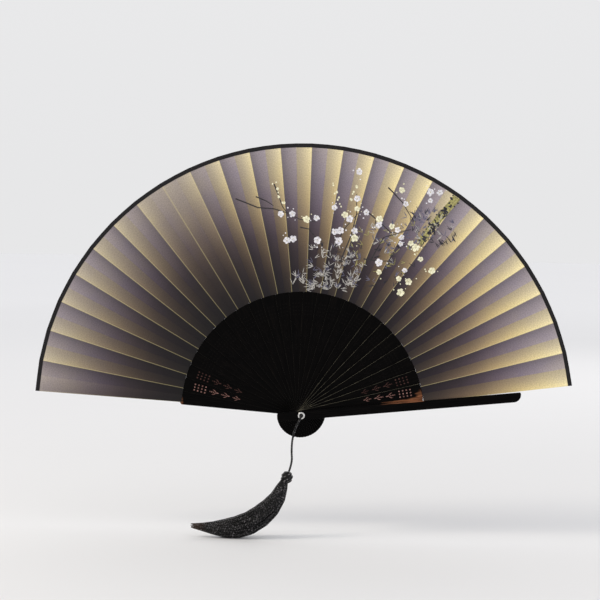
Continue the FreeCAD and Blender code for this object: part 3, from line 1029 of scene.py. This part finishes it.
def painting():
    """Every shape of the painting, with its paint and its height above the silk."""
    shapes = []

    def lay(made, paint, lift):
        shapes.extend((outline, paint, lift) for outline in made)

    lay(stroke(TRUNK, 4.8, 5.4), GREEN, TRUNK_LIFT)
    for _ in range(TRUNK_DABS):
        share = between(0.0, 3.0)
        low, high = TRUNK[int(share)], TRUNK[int(share) + 1]
        t = share % 1
        x = low[0] + (high[0] - low[0]) * t + wobble(2.9)
        z = low[1] + (high[1] - low[1]) * t + wobble(2.2)
        lay(spot(x, z, between(0.45, 1.05)), DARK, DAB_LIFT)
    for left, right, low, high, count, paints in THICKETS:
        for _ in range(count):
            x, z = between(left, right), between(low, high)
            lay(tuft(x, z), chance.choice(paints), TUFT_LIFT)
    for k in range(TRUNK_LEAVES):
        x = 94.0 + k * 0.85
        z = 119.0 + 0.4 * k + wobble(2.0)
        lay(blade_leaf(x, z, between(3.5, 6.0), 0.55, 2.2 + wobble(0.4)), DARK, DAB_LIFT)
    for branch in BRANCHES:
        bent = [(x + wobble(0.5), z + wobble(0.5)) for x, z in branch]
        lay(stroke(bent, 0.95, 0.4), INK, BRANCH_LIFT)
    for x, z in BLOSSOMS:
        size = between(1.9, 2.9)
        paint = CREAM if x > 45 and chance.random() < 0.7 or chance.random() < 0.2 else WHITE
        lay(petals(x, z, size, between(0, 6)), paint, PETAL_LIFT)
        lay([circle(x, z, 0.42, 8)], HEART, HEART_LIFT)
        for _ in range(chance.randint(1, 3)):
            away, turn = size + between(0.8, 3.2), between(0, 6.3)
            place = (x + away * cos(turn), z + away * sin(turn))
            lay([circle(*place, between(0.28, 0.62), 8)], paint, DOT_LIFT)
    for x, z in BUDS:
        for _ in range(2):
            place = (x + wobble(1.3), z + wobble(1.6))
            lay([circle(*place, between(0.45, 0.95), 9, 1.2)], CREAM, DOT_LIFT)
    return shapes


def clip(outline, angle, keep_left):
    """The part of an outline on one side of a ray from the rivet."""
    ray = Vector((cos(angle), sin(angle)))

    def side(p):
        value = ray.x * p[1] - ray.y * p[0]
        return value if keep_left else -value

    out = []
    for k, here in enumerate(outline):
        before = outline[k - 1]
        if (side(here) >= 0) != (side(before) >= 0):
            t = side(before) / (side(before) - side(here))
            out.append((before[0] + (here[0] - before[0]) * t, before[1] + (here[1] - before[1]) * t))
        if side(here) >= 0:
            out.append(here)
    return out


def inside_the_rim(place):
    """A painted point, brought back onto the leaf if it lies past its edges."""
    radius = hypot(*place)
    kept = min(max(radius, LEAF_INNER + 0.3), LEAF_OUTER - BINDING_WIDTH - 0.2)
    return (place[0] * kept / radius, place[1] * kept / radius)


def area_of(outline):
    """Positive where the outline runs anticlockwise."""
    return sum(a[0] * b[1] - b[0] * a[1] for a, b in zip(outline, outline[1:] + outline[:1])) / 2


def make_trim(facet, shapes):
    """The ribbon along the facet's rim, and what is painted on the facet, as raised paint."""
    smallest = 0.004
    rim = spread(LEAF_OUTER - BINDING_WIDTH, LEAF_OUTER + BINDING_PAST_RIM, 2)
    back = -SILK_THICKNESS - BINDING_THICKNESS
    points, faces = slab(facet, STRIPS, rim, BINDING_THICKNESS, back)
    materials = [0] * len(faces)
    step = (facet.high - facet.low) / STRIPS
    for whole, material, lift in shapes:
        outline = [inside_the_rim(place) for place in whole]
        angles = [atan2(z, x) for x, z in outline]
        if max(angles) < facet.low or min(angles) > facet.high:
            continue
        for k in range(STRIPS):
            low, high = facet.low + k * step, facet.low + (k + 1) * step
            part = clip(clip(outline, low, True), high, False)
            if len(part) < 3 or abs(area_of(part)) < smallest:
                continue
            if area_of(part) > 0:
                part.reverse()
            first = len(points)
            for raised in (lift, PAINT_BASE):
                for x, z in part:
                    across = (atan2(z, x) - facet.low) / (facet.high - facet.low)
                    points.append(facet.point(min(max(across, 0), 1), hypot(x, z), raised))
            count = len(part)
            faces.append(tuple(range(first + count - 1, first - 1, -1)))
            faces.append(tuple(range(first + count, first + 2 * count)))
            for n in range(count):
                m = (n + 1) % count
                faces.append((first + n, first + m, first + count + m, first + count + n))
            materials += [material] * (count + 2)
    mesh = mesh_of(f"{facet.name}_trim", points, faces)
    mesh.polygons.foreach_set("material_index", materials)
    return finish_piece(f"{facet.name}_trim", mesh, facet.body, TRIM_MATERIALS, FLAT)


def make_leaf():
    shapes = painting()
    glued = [Facet(i, True) for i in range(1, STICKS)]
    free = [Facet(i, False) for i in range(LAST)]
    for facet in glued + free:
        make_silk(facet, make_trim(facet, shapes))


# ---- rivet, washer and tassel

def ring_faces(rings, sides, count):
    """Quads from each of the first count rings to the next ring; the last one's next is the first."""
    faces = []
    for k in range(count):
        a, b = k * sides, (k + 1) % rings * sides
        for n in range(sides):
            m = (n + 1) % sides
            faces.append((a + n, b + n, b + m, a + m))
    return faces


def lathe(name, profile, segments=56):
    """A ring turned about the Y axis from a closed profile of (radius, y) points."""
    points = []
    for k in range(segments):
        turn = tau * k / segments
        points += [(r * cos(turn), y, r * sin(turn)) for r, y in profile]
    mesh = mesh_of(name, points, ring_faces(segments, len(profile), segments))
    bm = opened(mesh)
    bmesh.ops.recalc_face_normals(bm, faces=bm.faces)
    write_back(bm, mesh)
    return mesh


def make_rivet():
    """The hollow eyelet through the stack, and the washer under its peened end."""
    eyelet = [
        (1.0, -16.45), (1.06, -16.68), (1.25, -16.82), (1.55, -16.85), (1.95, -16.83), (2.3, -16.73),
        (2.47, -16.55), (2.5, -16.37), (2.4, -16.35), (1.5, -16.35), (1.5, 16.9), (2.05, 16.9),
        (2.1, 17.02), (1.95, 17.2), (1.6, 17.3), (1.25, 17.27), (1.06, 17.1), (1.0, 16.9),
    ]
    washer = [
        (1.52, 16.37), (2.9, 16.35), (3.0, 16.45), (3.0, 16.72), (2.88, 16.83), (1.62, 16.85), (1.52, 16.78),
    ]
    rings = (("eyelet_ring", eyelet, "eyelet_rivet"), ("washer_ring", washer, "rear_washer"))
    for name, profile, node in rings:
        finish_piece(name, lathe(name, profile), "rivet", (METAL,), 40, (node,))


def curve_points(route):
    """Points along the smooth curve that a route's points steer, in metres."""
    data = bpy.data.curves.new("route", "CURVE")
    data.dimensions = "3D"
    data.resolution_u = 24
    spline = data.splines.new("NURBS")
    spline.points.add(len(route) - 1)
    for point, place in zip(spline.points, route):
        point.co = (*(v * MM for v in place), 1)
    spline.order_u = 3
    spline.use_endpoint_u = True
    holder = put_in_scene("route", data)
    points = [v.co.copy() for v in evaluated(holder).vertices]
    bpy.data.objects.remove(holder)
    return points


def direction(points, k):
    """Which way a line of points runs at one of them."""
    return (points[min(k + 1, len(points) - 1)] - points[max(k - 1, 0)]).normalized()


def frames_along(points):
    """A direction and two sides at each point, turned as little as possible from one to the next."""
    frames = []
    side = None
    for k, here in enumerate(points):
        along = direction(points, k)
        if side is None:
            side = along.orthogonal().normalized()
        side = (side - along * side.dot(along)).normalized()
        frames.append((here, along, side, along.cross(side)))
    return frames


def tube(points, radius_at, sides):
    """A closed tube along points; radius_at(k, turn) is its radius at point k and that angle round it."""
    rings = []
    for k, (here, _along, side, up) in enumerate(frames_along(points)):
        for n in range(sides):
            turn = tau * n / sides
            rings.append(here + (side * cos(turn) + up * sin(turn)) * radius_at(k, turn))
    faces = [(a, d, c, b) for a, b, c, d in ring_faces(len(points), sides, len(points) - 1)]
    faces.append(tuple(range(sides - 1, -1, -1)))
    last = (len(points) - 1) * sides
    faces.append(tuple(range(last, last + sides)))
    return rings, faces


def add_twist_uv(mesh, per_turn, per_millimetre, lengths, sides):
    """Lays the plies round a tube, slanting: across is the angle round it and up is the length along it."""
    layer = mesh.uv_layers.new(name="twist")
    for polygon in mesh.polygons:
        rounds = [mesh.loops[n].vertex_index % sides for n in polygon.loop_indices]
        wraps = max(rounds) - min(rounds) > sides / 2
        for n in polygon.loop_indices:
            k = mesh.loops[n].vertex_index
            turn = k % sides
            if wraps and turn < sides / 2:
                turn += sides
            layer.data[n].uv = (per_turn * turn / sides, lengths[k // sides] * per_millimetre)


def finish_thread(name, mesh, node):
    return finish_piece(name, mesh, "tassel", (THREAD,), SMOOTH, (node,))


def make_cord(head):
    """Three plies twisted together, out of the eyelet and down to the knot."""
    path = curve_points(CORD_ROUTE)
    radius = CORD_DIAMETER / 2
    lengths = [0.0]
    for a, b in zip(path, path[1:]):
        lengths.append(lengths[-1] + (b - a).length / MM)

    def twisted(k, turn):
        return radius * (0.94 + 0.06 * cos(3 * turn - lengths[k] * tau / TWIST_LENGTH))

    rings, faces = tube([p / MM for p in path], twisted, 24)
    mesh = mesh_of("tassel_cord", rings, faces)
    add_twist_uv(mesh, 3, -1 / TWIST_LENGTH, lengths, 24)
    piece = finish_thread("cord_twist", mesh, "tassel_cord")


def skirt_frames():
    line = [Vector((x, SKIRT_Y, z)) for x, z, _ in SKIRT]
    frames = []
    for k, here in enumerate(line):
        along = direction(line, k)
        frames.append((here, along, Vector((0, 1, 0)).cross(along), SKIRT[k][2]))
    return frames


def skirt_point(frames, t, across, deep):
    """A point in the fringe; t is 0 at the knot and 1 at the tip, and across and deep fill its section."""
    place = t * (len(frames) - 1)
    k = min(int(place), len(frames) - 2)
    share = place - k
    here = frames[k][0].lerp(frames[k + 1][0], share)
    side = frames[k][2].lerp(frames[k + 1][2], share).normalized()
    wide = frames[k][3] + (frames[k + 1][3] - frames[k][3]) * share
    return here + side * across * wide / 2 + Vector((0, 1, 0)) * deep * wide * 0.52


def make_head():
    """The knot: the cord tied over itself in a lumpy ball, longer towards the fringe it holds."""
    middle, down = Vector(HEAD_MIDDLE), Vector(HEAD_DOWN)
    rows, columns = 36, 60
    points, lengths = [], []
    for row in range(rows + 1):
        lat = pi * row / rows
        lengths.append(row * 0.35)
        for column in range(columns):
            lon = tau * column / columns
            spoke = Vector((sin(lat) * cos(lon), sin(lat) * sin(lon), cos(lat)))
            wrap = cos(3 * lon + 8 * lat) * sin(lat)
            lump = sin(2.3 * spoke.x + 1.0) * cos(2.1 * spoke.z)
            radius = HEAD_RADIUS * (0.93 + 0.07 * wrap + 0.05 * lump)
            longer = 1 + 0.25 * max(0.0, spoke.dot(down))
            points.append(middle + spoke * radius * longer)
    mesh = mesh_of("tassel_head", points, ring_faces(rows + 1, columns, rows))
    add_twist_uv(mesh, 6, 0.4, lengths, columns)
    bm = opened(mesh)
    bmesh.ops.remove_doubles(bm, verts=bm.verts, dist=0.001)
    write_back(bm, mesh)
    return finish_thread("head_knot", mesh, "tassel_head")


def make_skirt():
    """The fringe: a dark core with many twisted threads laid over it, uneven and browner at the tip."""
    frames = skirt_frames()
    points, faces, tips, heights = [], [], [], []
    sides = THREAD_SIDES

    def join(new_points, new_faces, new_tips):
        """Adds one tube, and how brown it is at each of its rings."""
        first = len(points)
        points.extend(new_points)
        faces.extend(tuple(n + first for n in face) for face in new_faces)
        for k, brown in enumerate(new_tips):
            tips.extend([min(1.0, brown)] * sides)
            heights.append(k * FRINGE_LENGTH / len(new_tips))

    steps = spread(0.0, CORE_END, CORE_STEPS)
    for layer, size in ((0, 0.82), (1, 0.5)):
        middle = [skirt_point(frames, t, 0, 0) for t in steps]
        rings, closed = tube(middle, lambda k, _turn: 1.0, sides)
        for k, t in enumerate(steps):
            for n in range(sides):
                turn = tau * (n + 0.5 * layer) / sides
                rings[k * sides + n] = skirt_point(frames, t, size * cos(turn), size * sin(turn))
        join(rings, [face[::-1] for face in closed], [(t - 0.8) * 3 if t > 0.8 else 0.0 for t in steps])

    for number in range(THREADS):
        turn = tau * number / THREADS + wobble(0.03)
        depth = between(0.8, 1.0)
        end = between(0.84, 0.99) if number % 3 else between(0.93, 0.995)
        swirl = wobble(0.5)
        phase = between(0, 6.28)
        line = []
        for t in spread(0.0, end, THREAD_STEPS):
            here = turn + swirl * t + 0.09 * sin(9 * t + phase)
            out = depth + 0.04 * sin(13 * t + phase)
            line.append(skirt_point(frames, t, out * cos(here), out * sin(here)))
        radius = between(0.32, 0.46)
        shares = [k / THREAD_STEPS for k in range(THREAD_STEPS + 1)]
        new_points, new_faces = tube(line, lambda k, _turn: radius * (1 - 0.45 * shares[k] ** 4), sides)
        brownness = between(2.0, 5.0)
        join(new_points, new_faces, [max(0.0, (share * end - 0.86) * brownness) for share in shares])
    mesh = mesh_of("fringe", points, faces)
    add_twist_uv(mesh, 2, 0.5, heights, sides)
    set_numbers(mesh, "tip", tips)
    finish_thread("fringe", mesh, "tassel_skirt")


# ---- studio

def make_floor():
    """A pale round floor that grows paler with distance."""
    bm = bmesh.new()
    bmesh.ops.create_circle(bm, cap_ends=True, segments=96, radius=6.0)
    mesh = bm_to_mesh(bm, "floor")
    floor = put_in_scene("floor", mesh)
    floor.location.z = FLOOR_Z
    s = Shader("floor", 0.9)
    soft = s.noise(s.here, 3.0, 2.0)
    distance = s.add("VectorMath", {0: s.here}, operation="LENGTH").outputs["Value"]
    pale = s.mix(s.ranged(distance, 0.5, 3.0), srgb(222, 222, 223), srgb(242, 242, 243))
    s.colour(s.mix(s.times(soft, 0.06), pale, srgb(205, 205, 207)))
    mesh.materials.append(s.material)


def make_world():
    """An even pale studio, a little brighter overhead.  It is shown without a film-like curve, so that black
    stays black."""
    world = bpy.data.worlds.new("studio")
    world.use_nodes = True
    nodes, links = world.node_tree.nodes, world.node_tree.links
    place = nodes.new("ShaderNodeTexCoord")
    height = nodes.new("ShaderNodeSeparateXYZ")
    ramp = nodes.new("ShaderNodeValToRGB")
    ramp.color_ramp.elements[0].color = srgb(231, 231, 232)
    ramp.color_ramp.elements[1].color = srgb(250, 250, 252)
    links.new(place.outputs["Generated"], height.inputs[0])
    links.new(height.outputs[2], ramp.inputs["Fac"])
    links.new(ramp.outputs["Color"], nodes["Background"].inputs["Color"])
    bpy.context.scene.world = world
    bpy.context.scene.view_settings.view_transform = "Standard"


def soft_light(name, place, size, power, colour):
    data = bpy.data.lights.new(name, "AREA")
    data.size = size
    data.energy = power
    data.color = colour
    light = put_in_scene(name, data)
    light.location = place
    aim = Vector((0, 0, 0.09)) - light.location
    light.rotation_euler = aim.to_track_quat("-Z", "Y").to_euler()


def make_lights():
    soft_light("key", (-1.15, -0.55, 1.05), 0.5, 9.0, (1.0, 0.93, 0.8))
    soft_light("fill", (1.2, -0.9, 0.15), 0.9, 2.5, (0.86, 0.86, 1.0))
    soft_light("back", (0.6, 1.4, 0.9), 0.9, 3.0, (1.0, 0.98, 0.95))


make_cord(make_head())
make_skirt()
make_rivet()
make_ribs()
make_guards()
make_leaf()
make_floor()
make_world()
make_lights()
